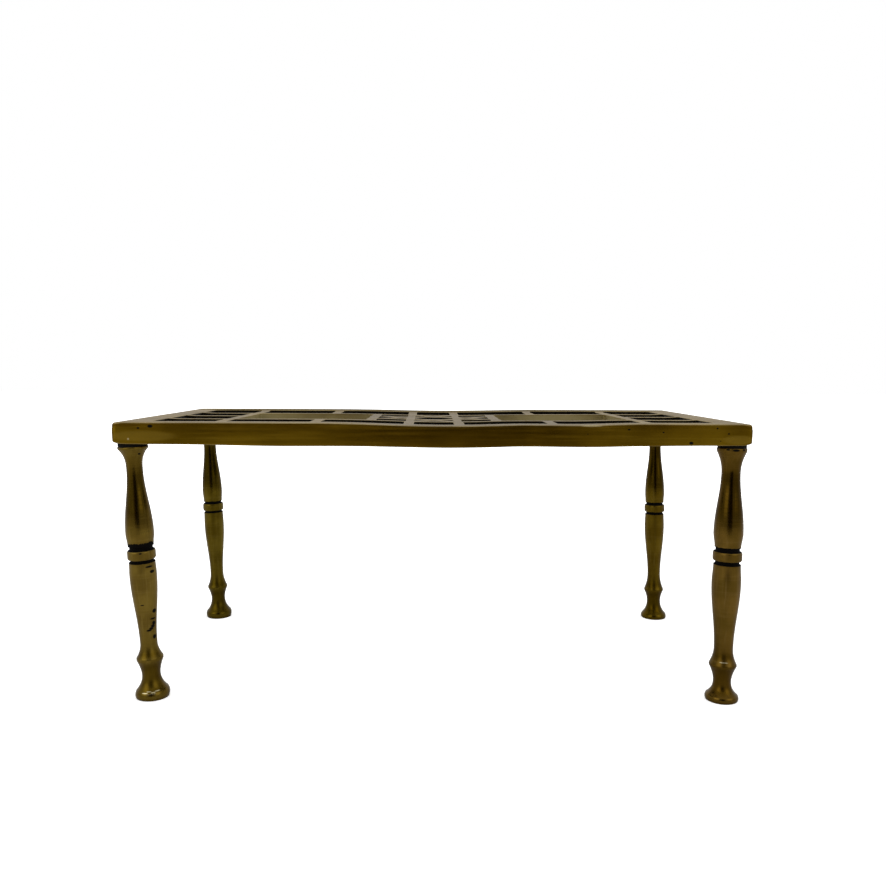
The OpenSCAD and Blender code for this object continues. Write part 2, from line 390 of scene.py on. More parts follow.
def edge_rings(rounding_top, rounding_below, lean_top, lean_below):
    """Each ring is (distance into the metal, share of the thickness, drop from there, wear, painted shade
    below the edge).
    """
    rings = [(rounding_top + lean_top + SUPPORT, 0, 0, 0.0, 0.0)]
    for degrees in (0, 22.5, 45, 67.5, 90):
        angle = math.radians(degrees)
        rings.append((lean_top + rounding_top * (1 - math.sin(angle)), 0,
                      rounding_top * (1 - math.cos(angle)), math.sin(2 * angle), degrees / 90))
    rings.append((lean_top * 0.8, 0, rounding_top + 0.6 * MM, 0.0, 1.0))
    rings.append((0, 0.3, 0, 0.0, 0.45))
    rings.append((0, 0.6, 0, 0.0, 0.1))
    rings.append((lean_below * 0.8, 1, -rounding_below - 0.6 * MM, 0.0, 0.0))
    for degrees in (90, 60, 30, 0):
        angle = math.radians(degrees)
        rings.append((lean_below + rounding_below * (1 - math.sin(angle)), 1,
                      -rounding_below * (1 - math.cos(angle)), 0.5 * math.sin(2 * angle), 0.0))
    rings.append((lean_below + rounding_below + SUPPORT, 1, 0, 0.0, 0.0))
    return rings


def corner_softness(point):
    """How much rounder than elsewhere the rim's upper edge is at a corner, where it is rubbed most."""
    share = max(0.0, (abs(point.x) - HALF_LENGTH + CORNER_REACH) / CORNER_REACH)
    return 1 + CORNER_WEAR * share * share


def filed_up(point):
    """How far the underside is filed up at the two ends of the rim."""
    share = max(0.0, (abs(point.x) - HALF_LENGTH + FILED_LENGTH) / FILED_LENGTH)
    return FILED_UP * share * share


def hump(x, middle, reach):
    """1 at the middle, falling smoothly to 0 at the reach on both sides."""
    return (1 + math.cos(math.pi * min(1.0, abs(x - middle) / reach))) / 2


# The mould swelled, so the rim hangs deeper than its nominal thickness, and most of all between the legs.
RIM_SWELL = 0.5 * MM
# Each swelling is (its middle along the length, its reach, its depth).
SWELLINGS = ((-68 * MM, 62 * MM, 0.75 * MM), (95 * MM, 38 * MM, 0.3 * MM))
FILLET_WIDTH = 1.6 * MM
FILLET_OVERLAP = 0.4 * MM


def rim_thickness_at(x):
    swelling = sum(depth * hump(x, middle, reach) for middle, reach, depth in SWELLINGS)
    return RIM_THICKNESS + RIM_SWELL + swelling


def thickness_at(point):
    """The rim is thicker than the lattice, and a cast fillet runs between the two."""
    inside = min(half_window.x - abs(point.x), half_window.y - abs(point.y))
    share = max(0.0, min(1.0, (inside + FILLET_OVERLAP) / FILLET_WIDTH))
    share = share * share * (3 - 2 * share)
    rim = rim_thickness_at(point.x)
    return rim + (BAR_THICKNESS - rim) * share


def underside(point):
    """How far below the top the underside is."""
    return thickness_at(point) - filed_up(point)


def contains(outline, point):
    inside = False
    for a, b in zip(outline, outline[1:] + outline[:1]):
        if (a.y > point.y) != (b.y > point.y) and point.x < a.x + (b.x - a.x) * (point.y - a.y) / (b.y - a.y):
            inside = not inside
    return inside


# %% Build the casting's mesh
top_mesh = bpy.data.meshes.new("pierced_top_casting")
casting = bmesh.new()
wear_layer = casting.verts.layers.float.new("edge_wear")
wall_shade_layer = casting.verts.layers.float.new("painted_wall_shade")
edge_shade_layer = casting.verts.layers.float.new("painted_edge_shade")
wall_light_layer = casting.verts.layers.float.new("painted_wall_light")
RIM_ROUND_TOP, RIM_ROUND_BELOW = 0.5 * MM, 0.55 * MM
RIM_LEAN_TOP, RIM_LEAN_BELOW = 0.05 * MM, 0.1 * MM
HOLE_DRAFT = 0.25 * MM
WIDE_OPENING = 40 * MM
# Painted shade darkens the walls of the openings below these two depths.
UNSHADED_DEPTH_WIDE = 3.2 * MM
UNSHADED_DEPTH_SMALL = 0.16 * MM
# Painted light makes the walls of the wide openings pale below this depth.
WALL_LIGHT_FROM = 0.5 * MM
rims = [(rim_outline, -1, edge_rings(RIM_ROUND_TOP, RIM_ROUND_BELOW, RIM_LEAN_TOP, RIM_LEAN_BELOW))]
hole_rings = edge_rings(EDGE_ROUND_TOP, EDGE_ROUND_BELOW, 0, -HOLE_DRAFT)
rims += [(outline, 1, hole_rings) for outline in hole_outlines]
flat_top, flat_below = [], []
for outline, side, rings in rims:
    is_hole = side > 0
    wide = max(p.y for p in outline) - min(p.y for p in outline) > WIDE_OPENING
    unshaded_depth = UNSHADED_DEPTH_WIDE if wide else UNSHADED_DEPTH_SMALL
    columns = []
    for distance, share, drop, wear, edge_shade_share in rings:
        ring = []
        for base, place in zip(outline, pushed(outline, side * distance)):
            softness = 1 if is_hole or share else corner_softness(base)
            place = base + (place - base) * softness
            z = -underside(base) * share - drop * softness
            vert = casting.verts.new((place.x, place.y, z))
            vert[wear_layer] = wear
            # Painted shade below the rim's upper edge.
            vert[edge_shade_layer] = 0.0 if is_hole else edge_shade_share
            # Painted light on the walls of the wide openings.
            vert[wall_light_layer] = min(1.0, -z / WALL_LIGHT_FROM) if is_hole and wide else 0.0
            # Painted shade on the walls of every opening, below a depth.
            vert[wall_shade_layer] = max(0.0, -z / unshaded_depth) if is_hole else 0.0
            ring.append(vert)
        columns.append(ring)
    count = len(outline)
    for upper, lower in zip(columns, columns[1:]):
        for i in range(count):
            j = (i + 1) % count
            casting.faces.new((upper[i], lower[i], lower[j], upper[j]) if not is_hole else
                              (upper[i], upper[j], lower[j], lower[i]))
    for flat, ring in ((flat_top, columns[0]), (flat_below, columns[-1])):
        flat.append(ring)


BOSS_SIDES = 40


def add_boss(matrix):
    """A boss under a corner, with the bore for its stud, hung from a round hole in the flat underside."""
    base = 4 * MM
    stations = [(base, None), (BOSS_RADIUS, 2 * MM), (BOSS_RADIUS, 0.25 * MM),
                (BOSS_RADIUS - 0.1 * MM, 0.07 * MM), (BOSS_RADIUS - 0.3 * MM, 0), (BORE_RADIUS + 0.3 * MM, 0),
                (BORE_RADIUS, 0.3 * MM), (BORE_RADIUS, BORE_DEPTH)]
    rings = []
    for radius, height in stations:
        ring = []
        for i in range(BOSS_SIDES):
            angle = 2 * math.pi * i / BOSS_SIDES
            place = Vector((radius * math.cos(angle), radius * math.sin(angle), height or 0))
            if height is None:
                start = matrix @ place
                place.z = (TOP_Z - underside(start) - start.z) / matrix[2][2]
            vert = casting.verts.new(matrix @ place - Vector((0, 0, TOP_Z)))
            # The boss's sides and bore are painted black as shade.
            vert[wall_shade_layer] = 3.0 if radius > base or height else 0.0
            ring.append(vert)
        rings.append(ring)
    for upper, lower in zip(rings, rings[1:]):
        for i in range(BOSS_SIDES):
            j = (i + 1) % BOSS_SIDES
            casting.faces.new((upper[i], upper[j], lower[j], lower[i]))
    casting.faces.new(rings[-1])
    return rings[0]


def fill_flat(ring_list, spacing, is_top):
    """Fills the flat metal between the rings with even triangles."""
    verts = [v for ring in ring_list for v in ring]
    points = [Vector((v.co.x, v.co.y)) for v in verts]
    edges, start = [], 0
    outlines = []
    for ring in ring_list:
        edges += [(start + i, start + (i + 1) % len(ring)) for i in range(len(ring))]
        outlines.append([Vector((v.co.x, v.co.y)) for v in ring])
        start += len(ring)
    outer, holes = outlines[0], outlines[1:]
    boxes = [(min(p.x for p in hole), max(p.x for p in hole), min(p.y for p in hole), max(p.y for p in hole))
             for hole in holes]

    def in_metal(point, margin):
        if not contains(outer, point):
            return False
        for hole, (x0, x1, y0, y1) in zip(holes, boxes):
            if x0 - margin < point.x < x1 + margin and y0 - margin < point.y < y1 + margin:
                if contains(hole, point) or (margin and min((point - p).length for p in hole) < margin):
                    return False
        return not margin or min((point - p).length for p in outer) > margin

    rows = int(2 * HALF_DEPTH / spacing)
    columns = int(2 * HALF_LENGTH / spacing)
    for row in range(rows):
        for column in range(columns):
            shift = 0.25 + 0.5 * (row % 2)
            place = Vector(((column + shift) * spacing - HALF_LENGTH, (row + 0.5) * spacing - HALF_DEPTH))
            if in_metal(place, spacing * 0.5):
                points.append(place)
    made, _, faces, origins, _, _ = delaunay_2d_cdt(points, edges, [], 0, 1e-7)
    corners = []
    for place, origin in zip(made, origins):
        if origin and origin[0] < len(verts):
            corners.append(verts[origin[0]])
        else:
            z = 0 if is_top else -underside(place)
            corners.append(casting.verts.new((place.x, place.y, z)))
    for face in faces:
        middle = sum((made[i] for i in face), Vector((0, 0))) / len(face)
        if in_metal(middle, 0):
            loop = [corners[i] for i in face]
            if len(set(loop)) == len(loop):
                casting.faces.new(loop if is_top else loop[::-1])


for leg in LEG_NAMES:
    flat_below.append(add_boss(leg_matrix(leg)))
fill_flat(flat_top, 2.6 * MM, True)
fill_flat(flat_below, 3.2 * MM, False)
bmesh.ops.recalc_face_normals(casting, faces=casting.faces)
loose = [v for v in casting.verts if not v.link_faces]
bmesh.ops.delete(casting, geom=loose, context="VERTS")
open_edges = [e for e in casting.edges if len(e.link_faces) != 2]
casting.to_mesh(top_mesh)
casting.free()
top_mesh.transform(Matrix.Translation((0, 0, TOP_Z)))
pierced_top = show("pierced_top_casting", top_mesh)
print("casting has", len(top_mesh.polygons), "faces and", len(open_edges), "open edges")

# %% [markdown]
# ## Settling and filing
# A casting this thin sags where it cooled last, and it is filed by hand, so no edge is a straight line. It
# all follows a rule, so Geometry Nodes make it: one long smooth hollow near the middle of the length,
# deeper at the front than at the back, a smaller one to its right, a lattice that is dished a little below
# the rim, and a slow ripple that only takes metal away.

# %% Helpers for geometry trees
def new_group(name, inputs):
    """A geometry tree with named inputs, its input sockets by name, and its output node."""
    tree = bpy.data.node_groups.new(name, "GeometryNodeTree")
    tree.interface.new_socket("Geometry", in_out="INPUT", socket_type="NodeSocketGeometry")
    for label, kind, value in inputs:
        socket = tree.interface.new_socket(label, in_out="INPUT", socket_type="NodeSocket" + kind)
        if value is not None:
            socket.default_value = value
    tree.interface.new_socket("Geometry", in_out="OUTPUT", socket_type="NodeSocketGeometry")
    return tree, tree.nodes.new("NodeGroupInput").outputs, tree.nodes.new("NodeGroupOutput")


def finish_group(tree, shape, material, end):
    real = add(tree, "GeometryNodeRealizeInstances", [shape])
    painted = add(tree, "GeometryNodeSetMaterial", {"Geometry": real, "Material": material})
    feed(tree, end, [painted])


def run_group(holder, group, values):
    """Puts the tree on an object, sets its named inputs, and keeps the result as a plain mesh."""
    modifier = holder.modifiers.new(group.name, "NODES")
    modifier.node_group = group
    for socket in group.interface.items_tree:
        if socket.in_out == "INPUT" and socket.name in values:
            modifier[socket.identifier] = values[socket.name]
    return plain_mesh(holder)


# %% The tree that settles the casting
settle, given, end = new_group("settled casting", [
    ("Sag Front", "Float", 1.35 * MM), ("Sag Back", "Float", 0.8 * MM), ("Sag Middle", "Float", 6 * MM),
    ("Sag Reach", "Float", 64 * MM), ("Small Sag", "Float", 0.75 * MM),
    ("Small Sag Middle", "Float", 68 * MM), ("Small Sag Reach", "Float", 34 * MM),
    ("Dish Front", "Float", 0.4 * MM), ("Dish Back", "Float", 0.95 * MM), ("Dish Start", "Float", 9 * MM),
    ("Dish Width", "Float", 12 * MM), ("Ripple Height", "Float", 0.1 * MM), ("Ripple Size", "Float", 12 * MM),
    ("Material", "Material", None)])
place = add(settle, "GeometryNodeInputPosition")
axes = add(settle, "ShaderNodeSeparateXYZ", [place]).outputs


def hollow_along(middle, reach):
    """1 at the middle of a hollow, falling smoothly to 0 at its reach on both sides."""
    share = add(settle, "ShaderNodeMath", [axes["X"], middle], operation="SUBTRACT")
    share = add(settle, "ShaderNodeMath", [share, reach], operation="DIVIDE")
    share = add(settle, "ShaderNodeMath", [share, 1.0], operation="MINIMUM")
    share = add(settle, "ShaderNodeMath", [share, -1.0], operation="MAXIMUM")
    angle = add(settle, "ShaderNodeMath", [share, math.pi], operation="MULTIPLY")
    wave = add(settle, "ShaderNodeMath", [angle], operation="COSINE")
    return add(settle, "ShaderNodeMath", [wave, 0.5, 0.5], operation="MULTIPLY_ADD")


def front_to_back(at_front, at_back):
    return add(settle, "ShaderNodeMapRange", [axes["Y"], -HALF_DEPTH, HALF_DEPTH, at_front, at_back])


long_hollow = hollow_along(given["Sag Middle"], given["Sag Reach"])
long_depth = front_to_back(given["Sag Front"], given["Sag Back"])
hollow = add(settle, "ShaderNodeMath", [long_hollow, long_depth], operation="MULTIPLY")
small_hollow = hollow_along(given["Small Sag Middle"], given["Small Sag Reach"])
small_depth = front_to_back(given["Small Sag"], 0.0)
hollow = add(settle, "ShaderNodeMath", [small_hollow, small_depth, hollow], operation="MULTIPLY_ADD")
# The lattice froze a little lower than the rim, so the top is dished just inside the rim.
from_edges = []
for axis, half in (("X", HALF_LENGTH), ("Y", HALF_DEPTH)):
    off_middle = add(settle, "ShaderNodeMath", [axes[axis]], operation="ABSOLUTE")
    from_edges.append(add(settle, "ShaderNodeMath", [half, off_middle], operation="SUBTRACT"))
inside = add(settle, "ShaderNodeMath", from_edges, operation="MINIMUM")
inside = add(settle, "ShaderNodeMath", [inside, given["Dish Start"]], operation="SUBTRACT")
inside = add(settle, "ShaderNodeMath", [inside, given["Dish Width"]], operation="DIVIDE")
dished = add(settle, "ShaderNodeMapRange", [inside], interpolation_type="SMOOTHSTEP")
dish_depth = front_to_back(given["Dish Front"], given["Dish Back"])
hollow = add(settle, "ShaderNodeMath", [dished, dish_depth, hollow], operation="MULTIPLY_ADD")
down = add(settle, "ShaderNodeMath", [hollow, -1], operation="MULTIPLY")
sag = add(settle, "ShaderNodeCombineXYZ", {"Z": down})
ripples_per_metre = add(settle, "ShaderNodeMath", [1.0, given["Ripple Size"]], operation="DIVIDE")
ripple = add(settle, "ShaderNodeTexNoise", {"Vector": place, "Detail": 1.0, "Scale": ripples_per_metre})
cut = add(settle, "ShaderNodeMath", [ripple, given["Ripple Height"]], operation="MULTIPLY")
cut = add(settle, "ShaderNodeMath", [cut, -1], operation="MULTIPLY")
normal = add(settle, "GeometryNodeInputNormal")
filed = add(settle, "ShaderNodeVectorMath", {0: normal, "Scale": cut}, operation="SCALE")
offset = add(settle, "ShaderNodeVectorMath", [sag, filed], operation="ADD")
moved = add(settle, "GeometryNodeSetPosition", {"Geometry": given["Geometry"], "Offset": offset})
finish_group(settle, moved, given["Material"], end)
print("settling tree has", len(settle.nodes), "nodes")

# %% [markdown]
# ## One lathe for every turned piece
# A turned piece is its outline swung round an axis, which is exactly what a lathe does. The outline is a
# line of points along the axis, each with its own radius, and the tree sweeps a circle along it. The tool
# leaves fine rings, so the radius wanders a few hundredths of a millimetre along the axis. The same tree
# cuts a thread when it is given a depth: the cut then follows the angle as well as the height, and the
# groove winds into a helix.

# %% The lathe tree
LUMP_LENGTH = 22.2 * MM
lathe, given, end = new_group("lathe", [
    ("Sides", "Int", 72), ("Mark Depth", "Float", 0.03 * MM), ("Mark Spacing", "Float", 0.8 * MM),
    ("Out Of Round", "Float", 0.08 * MM), ("Thread Depth", "Float", 0.0), ("Thread Pitch", "Float", 0.8 * MM),
    ("Seed", "Float", 0.0), ("Material", "Material", None)])
outline_radius = add(lathe, "GeometryNodeInputNamedAttribute", {"Name": "outline_radius"}, data_type="FLOAT")
axis_line = add(lathe, "GeometryNodeMeshToCurve", [given["Geometry"]])
circle = add(lathe, "GeometryNodeCurvePrimitiveCircle", {"Resolution": given["Sides"], "Radius": 1.0})
swept = add(lathe, "GeometryNodeCurveToMesh", {"Curve": axis_line, "Profile Curve": circle,
                                               "Scale": outline_radius, "Fill Caps": True})
place = add(lathe, "GeometryNodeInputPosition")
axes = add(lathe, "ShaderNodeSeparateXYZ", [place]).outputs
flat_place = add(lathe, "ShaderNodeVectorMath", [place, (1, 1, 0)], operation="MULTIPLY")
outwards = add(lathe, "ShaderNodeVectorMath", [flat_place], operation="NORMALIZE")
radius = add(lathe, "ShaderNodeVectorMath", [flat_place], operation="LENGTH")
off_axis = add(lathe, "ShaderNodeMapRange", [radius, 0.5 * MM, 1.5 * MM])
# The rings that the tool leaves.
along = add(lathe, "ShaderNodeMath", [axes["Z"], given["Mark Spacing"]], operation="DIVIDE")
along = add(lathe, "ShaderNodeMath", [along, given["Seed"]], operation="ADD")
tool = add(lathe, "ShaderNodeTexNoise", {"W": along, "Scale": 1.0, "Detail": 1.0}, noise_dimensions="1D")
# The slow lumps of a bar that is not quite round.
lump_place = add(lathe, "ShaderNodeVectorMath", {0: place, "Scale": 1 / LUMP_LENGTH}, operation="SCALE")
lump_place = add(lathe, "ShaderNodeVectorMath", [outwards, lump_place], operation="ADD")
seeded = add(lathe, "ShaderNodeCombineXYZ", [given["Seed"]])
lump_place = add(lathe, "ShaderNodeVectorMath", [lump_place, seeded], operation="ADD")
lumps = add(lathe, "ShaderNodeTexNoise", {"Vector": lump_place, "Scale": 0.9, "Detail": 1.0})
# The thread: a groove that winds once round the axis for each pitch.
turns = add(lathe, "ShaderNodeMath", [axes["Y"], axes["X"]], operation="ARCTAN2")
turns = add(lathe, "ShaderNodeMath", [turns, 2 * math.pi], operation="DIVIDE")
winding = add(lathe, "ShaderNodeMath", [axes["Z"], given["Thread Pitch"]], operation="DIVIDE")
winding = add(lathe, "ShaderNodeMath", [winding, turns], operation="SUBTRACT")
groove = add(lathe, "ShaderNodeMath", [winding, 0.5], operation="PINGPONG")
groove = add(lathe, "ShaderNodeMath", [groove, 2.0], operation="MULTIPLY")
# All three are cut into the metal, except near the axis, where the ends are flat.
cut = add(lathe, "ShaderNodeMath", [tool, given["Mark Depth"]], operation="MULTIPLY")
cut = add(lathe, "ShaderNodeMath", [lumps, given["Out Of Round"], cut], operation="MULTIPLY_ADD")
cut = add(lathe, "ShaderNodeMath", [groove, given["Thread Depth"], cut], operation="MULTIPLY_ADD")
cut = add(lathe, "ShaderNodeMath", [cut, off_axis], operation="MULTIPLY")
cut = add(lathe, "ShaderNodeMath", [cut, -1], operation="MULTIPLY")
offset = add(lathe, "ShaderNodeVectorMath", {0: outwards, "Scale": cut}, operation="SCALE")
turned_mesh = add(lathe, "GeometryNodeSetPosition", {"Geometry": swept, "Offset": offset})
kept_place = add(lathe, "GeometryNodeStoreNamedAttribute",
                 {"Geometry": turned_mesh, "Name": "turned_place", "Value": place},
                 data_type="FLOAT_VECTOR", domain="POINT")
finish_group(lathe, kept_place, given["Material"], end)
print("lathe tree has", len(lathe.nodes), "nodes")

# %% [markdown]
# ## The outline of a leg
# An outline is a short list of stations: how far below the packing, how thick, and how the line bends on
# its way there. Eased stretches make the swelling of the spindles, and coves and flares make the necks and
# the foot.

# %% Outlines
# Each leg was turned by eye, so each has its own stations. A station is (millimetres below the packing,
# diameter, bend of the line that comes down to it), and a lower spindle starts with (diameter, bend)
# where its seam ends. Seams are (end of the upper spindle, gap above the collar, gap below it, how far
# dirt creeps up).
UPPER = {
    "front_left": [(0, 13.6, 1), (0.5, 14.3, -2), (1.2, 14.2, 1), (11.5, 7.8, -3), (42, 13.4, 0),
                   (48.5, 12.2, 0)],
    "front_right": [(0, 13.6, 1), (0.5, 14.4, -2), (1.8, 14.3, 1), (12, 9.2, -2), (41.5, 14.2, 0),
                    (48.6, 12.6, 0)],
    "back_left": [(0, 13.6, 1), (0.5, 14.4, -2), (1.3, 14.4, 1), (12, 7.7, -2), (41, 12.4, 0),
                  (47.8, 11.6, 0)],
    "back_right": [(0, 13.6, 1), (0.5, 14.4, -2), (1.3, 14.4, 1), (11.5, 7.4, -2), (41.5, 12.4, 0),
                   (47.9, 11.8, 0)],
}
LOWER = {
    "front_left": [(12.5, 1), (62.5, 12.9, 0), (97, 8.2, 0), (104, 12.8, 2), (105.2, 12.8, 1),
                   (112.5, 8.9, -1.7), (120.2, 15.4, 2.2), (122.4, 16.6, -2), (124, 15.6, 2), (126, 15.6, 1)],
    "front_right": [(13.1, 1), (66, 14, 0), (98.5, 9.2, 0), (106.2, 13.3, 2), (107, 13.3, 1),
                    (114.5, 8.7, -1.7), (121.4, 15.4, 2.6), (122.9, 16.2, -2), (124, 15.6, 2),
                    (126, 15.6, 1)],
    "back_left": [(12, 1), (63, 12.3, 0), (94.5, 8.2, 0), (103.8, 12.4, 2.2), (104.6, 12.4, 1),
                  (111.5, 8.6, -1.7), (120, 15.4, 2.4), (121.8, 16.2, -2), (123.8, 15.4, 2), (126, 15.4, 1)],
    "back_right": [(12, 1), (63, 12.5, 0), (95, 8.1, 0), (105, 12.3, 2.2), (105.8, 12.3, 1),
                   (112.5, 8.6, -1.7), (121, 15, 2.6), (123, 16.2, -2), (124, 15.6, 2), (126, 15.6, 1)],
}
SEAMS = {"front_left": (48.5, 2.0, 1.5, 5.5), "front_right": (48.6, 2.0, 1.8, 0.9),
         "back_left": (47.8, 1.4, 1.2, 0.8), "back_right": (47.9, 1.6, 1.5, 0.8)}
COLLAR_HEIGHT = 4.5
SEAM_NECK = 0.88


def leg_outlines(leg):
    """The three turned sections of a leg, and the stretches where its seams hold dirt."""
    drop, gap_above, gap_below, creep = SEAMS[leg]
    top = drop + gap_above
    bottom = top + COLLAR_HEIGHT
    start = bottom + gap_below
    shoulder = LOWER[leg][0][0]
    neck, face = shoulder * SEAM_NECK, shoulder + 0.9
    collar = [(drop, neck, 1), (top, neck, 1), (top, shoulder + 0.1, 1), (top + 0.9, face, -2),
              (bottom - 0.9, face, 1), (bottom, shoulder + 0.1, 2), (bottom, neck, 1), (start, neck, 1)]
    lower = [(start, shoulder, 1)] + LOWER[leg][1:]
    seams = [(0, 0, 0.3, 0.5), (drop, top, creep, 0.05), (bottom, start, 0.05, 0.4)]
    return UPPER[leg], collar, lower, seams


# A pole is a ring too small to see, in millimetres. Points at one height are set a hair apart.
POLE_WIDTH = 0.02
HAIR = 0.001 * MM
RING_STEP = 0.35 * MM


def eased(share, bend):
    if bend == 0:
        return (1 - math.cos(math.pi * share)) / 2
    return share ** bend if bend > 0 else 1 - (1 - share) ** -bend


def outline_points(stations, step):
    """(station, diameter) down a list of stations, closed by a pole at each end."""
    points = [(stations[0][0], POLE_WIDTH), (stations[0][0], stations[0][1])]
    for (start, first, _), (stop, last, bend) in zip(stations, stations[1:]):
        steps = max(1, math.ceil((stop - start) * LEG_UNIT / step))
        for i in range(1, steps + 1):
            share = i / steps
            points.append((start + (stop - start) * share, first + (last - first) * eased(share, bend)))
    points.append((stations[-1][0], POLE_WIDTH))
    return points


def seam_dirt(station, seams):
    """1 in a seam between two pieces, falling to 0 a little way along the metal above and below it."""
    worst = 0
    for start, stop, above, below in seams:
        worst = max(worst, 1 - max((start - station) / above, (station - stop) / below, 0))
    return worst


# A painted dark reflection of the room darkens each upper spindle from the neck down towards the belly, and
# the ankle and the foot: (millimetres below the packing, share).
DARK_REFLECTION_STATIONS = [(0, 0.5), (6, 0.65), (14, 1.0), (30, 1.0), (38, 0.55), (45, 0.05), (50, 0.0), (56, 0.25),
                (62, 0.05), (88, 0.1), (99, 0.6), (102, 1.0), (104.5, 0.5), (108, 1.0), (119, 1.0),
                (122, 0.6), (130, 0.9)]


def share_at(table, station):
    for (start, first), (stop, last) in zip(table, table[1:]):
        if station <= stop:
            return first + (last - first) * max(0.0, station - start) / (stop - start)
    return table[-1][1]


# Roughness down the leg: a neck keeps its first polish, and rubbed stretches are finely scratched and dull.
DULL_STATIONS = [(0, 0.3), (6, 0.2), (12, 0.13), (38, 0.15), (46, 0.34), (60, 0.34), (95, 0.36), (103, 0.3),
                 (116, 0.3), (121, 0.2), (130, 0.2)]


def axis_polyline(name, points, top, unit, seams=()):
    """The line of points that the lathe tree sweeps, with its radius and its dirt."""
    heights, last = [], None
    for station, _ in points:
        height = top - station * unit
        last = height if last is None or height < last - HAIR / 2 else last - HAIR
        heights.append(last)
    mesh = bpy.data.meshes.new(name)
    mesh.from_pydata([(0, 0, height) for height in heights], [(i, i + 1) for i in range(len(points) - 1)], [])
    radii = mesh.attributes.new("outline_radius", "FLOAT", "POINT")
    radii.data.foreach_set("value", [diameter / 2 * MM for _, diameter in points])
    dirt = mesh.attributes.new("seam_dirt", "FLOAT", "POINT")
    dirt.data.foreach_set("value", [seam_dirt(station, seams) for station, _ in points])
    # The first layer holds the painted dark reflection of the room, the second the roughness.
    for label, table in (("dark_reflection", DARK_REFLECTION_STATIONS), ("dullness", DULL_STATIONS)):
        layer = mesh.attributes.new(label, "FLOAT", "POINT")
        layer.data.foreach_set("value", [share_at(table, station) for station, _ in points])
    return show(name, mesh)


def place_turned(piece, leg, sharp=40):
    piece.data.transform(leg_matrix(leg))
    piece.data.polygons.foreach_set("use_smooth", [True] * len(piece.data.polygons))
    piece.data.set_sharp_from_angle(angle=math.radians(sharp))
    return piece


def cut_at_floor(piece):
    """Files the foot flat to the floor."""
    shape = bmesh.new()
    shape.from_mesh(piece.data)
    every = shape.verts[:] + shape.edges[:] + shape.faces[:]
    bmesh.ops.bisect_plane(shape, geom=every, plane_co=(0, 0, 0), plane_no=(0, 0, -1), clear_outer=True)
    bmesh.ops.holes_fill(shape, edges=[edge for edge in shape.edges if edge.is_boundary])
    for face in shape.faces:
        if len(face.verts) > 8:
            face.smooth = False
    shape.to_mesh(piece.data)
    shape.free()


print("outlines:", [len(outline_points(part, RING_STEP)) for part in leg_outlines("front_left")[:3]], "rings")

# %% [markdown]
# ## Materials
# Old brass is not one colour. The metal is warm and dull where air and hands have dulled it, nearly black
# where polish and grease stay in a seam, and bright where an edge is rubbed. Each metal here is mixed from
# those three states, and from painted shade in the holes, painted dark reflections and painted highlights;
# the masks come from where the metal is: on an edge, in a hole, next to a seam.

# %% Helpers for shading
def layered(tree, tone, layers, blend="MIX"):
    """The tone with layers of colour over it, from the bottom up. Each layer is (mask, hex colour)."""
    for mask, colour in layers:
        tone = add(tree, "ShaderNodeMix", {0: mask, 6: tone, 7: linear(colour)}, data_type="RGBA",
                   blend_type=blend)
    return tone


def mark(tree, place, centre, size):
    """1 inside a small soft-edged spot; centre and half size are in millimetres."""
    offset = add(tree, "ShaderNodeVectorMath", [place, tuple(c * MM for c in centre)], operation="SUBTRACT")
    ratio = add(tree, "ShaderNodeVectorMath", [offset, tuple(s * MM for s in size)], operation="DIVIDE")
    ratio = add(tree, "ShaderNodeVectorMath", [ratio], operation="LENGTH")
    return add(tree, "ShaderNodeMapRange", [ratio, 1.2, 0.7], interpolation_type="SMOOTHSTEP")


def marks(tree, place, spots):
    found = 0.0
    for centre, size in spots:
        found = add(tree, "ShaderNodeMath", [mark(tree, place, centre, size), found], operation="MAXIMUM")
    return found


# %% Cast brass
# Sand-cast brass, filed and left to age: dull olive gold on the faces, brown streaks along the filing,
# painted shade near black inside the openings, painted light on the walls of the wide openings, and paler
# metal on rubbed edges, with painted glints. The places and half sizes of marks are in millimetres, and FRONT
# is where the front face stands.
CAST_DARK, CAST_MID, CAST_PALE = "#664e08", "#7d6210", "#977c2c"
GRIME_AND_SHADE = "#070503"
TARNISH_AND_SHADE = "#b09c60"
RUBBED_AND_GLINT = "#bfae7e"
WALL_LIGHT_COLOUR = "#958a63"
PATCH_SIZE = 35.7 * MM
FILING_SIZE = (33.3 * MM, 0.909 * MM, 1.11 * MM)
GRAIN_SIZE = 0.667 * MM
CLOUD_SIZE = 45.5 * MM
FRONT = -76
PITS = [((-134.3, FRONT, 135.2), (1.3, 1.5, 0.8)), ((-139.9, FRONT, 134.3), (0.7, 1.5, 0.45)),
        ((92.9, FRONT, 134.3), (0.8, 1.5, 0.4)), ((109.4, FRONT, 133.0), (0.5, 1.5, 0.4)),
        ((122.9, FRONT, 127.9), (1.1, 1.5, 0.8)), ((135.3, FRONT, 135.0), (0.5, 1.5, 0.4)),
        ((140.8, FRONT, 132.4), (0.5, 1.5, 0.45)), ((137.0, FRONT, 128.9), (0.3, 1.5, 0.3))]
GLINTS = [((-144.7, FRONT, 129.1), (0.5, 1.0, 0.5)), ((75.0, FRONT, 136.0), (5.5, 1.0, 0.45))]
STAINS = [((-146, FRONT, 135.8), (8, 4, 1.0)), ((-128, FRONT, 136.4), (8, 6, 0.5))]
FILED = [((146, FRONT, 129.5), (8, 3, 2.2)), ((-138, FRONT, 130.5), (16, 3, 2.6))]
cast_brass, tree, shader = new_material("sand-cast brass, filed and aged", 1, 0.4)
place = add(tree, "ShaderNodeTexCoord").outputs["Object"]
axes = add(tree, "ShaderNodeSeparateXYZ", [place]).outputs
patches = add(tree, "ShaderNodeTexNoise", {"Vector": place, "Scale": 1 / PATCH_SIZE, "Detail": 3.0})
filing = add(tree, "ShaderNodeVectorMath", [place, FILING_SIZE], operation="DIVIDE")
